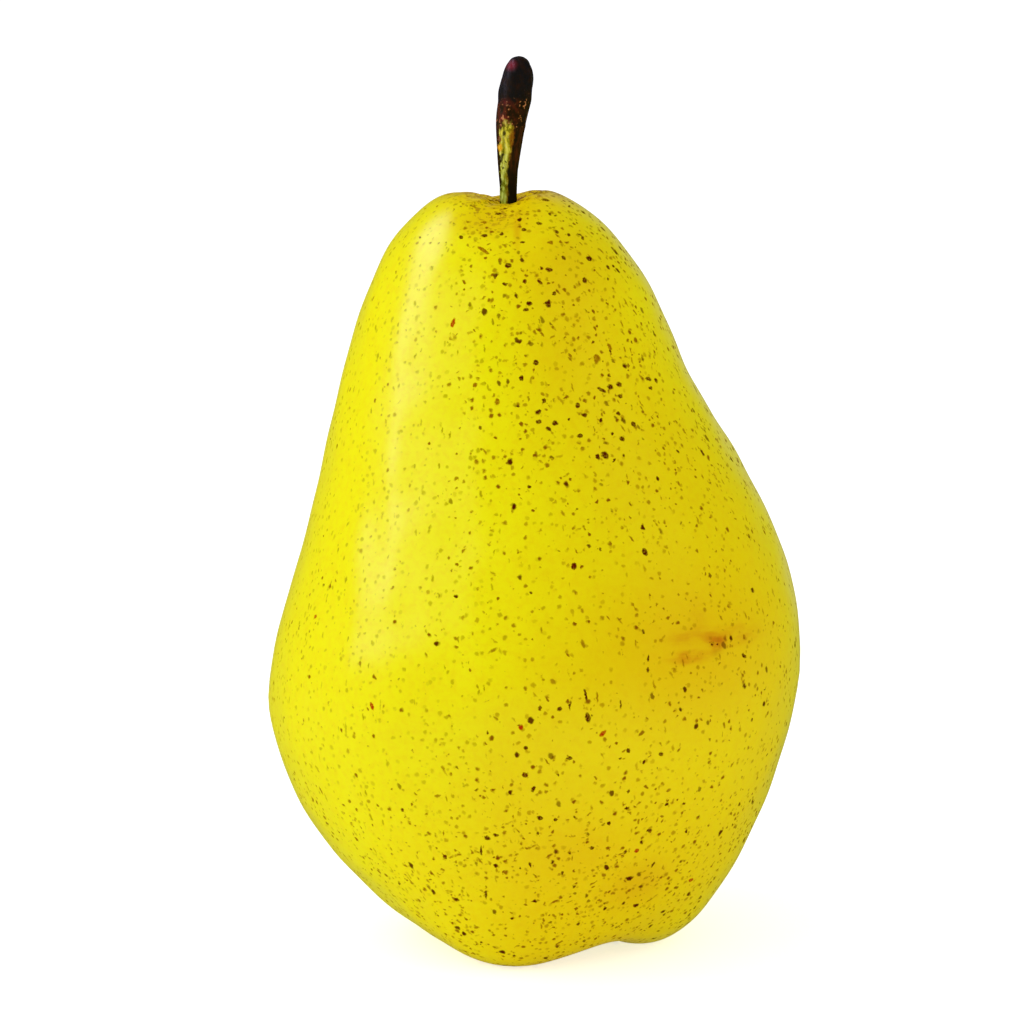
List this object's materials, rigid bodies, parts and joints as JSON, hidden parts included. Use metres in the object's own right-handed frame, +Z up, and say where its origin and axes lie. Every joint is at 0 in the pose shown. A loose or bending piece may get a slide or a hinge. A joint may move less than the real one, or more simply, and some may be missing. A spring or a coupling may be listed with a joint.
{
  "type": "pear",
  "caption": "Whole ripe yellow pear with brown speckles, a leaning belly, a club-shaped stem and a dried calyx in its lobed base.",
  "frame": {"origin": "on the surface that the pear stands on, under the middle of its bounding box", "axes": "+Z up from the base to the stem's tip, +X to the side of the higher belly, -Y the front, where the crease runs out of the stem cavity"},
  "size_m": [0.0702, 0.0681, 0.116],
  "materials": {
    "skin": "satin",
    "stem": "satin",
    "calyx": "matte"
  },
  "bodies": {
    "root": {"pear_fruit": "skin", "stem": "stem", "calyx": "calyx"}
  },
  "joints": []
}
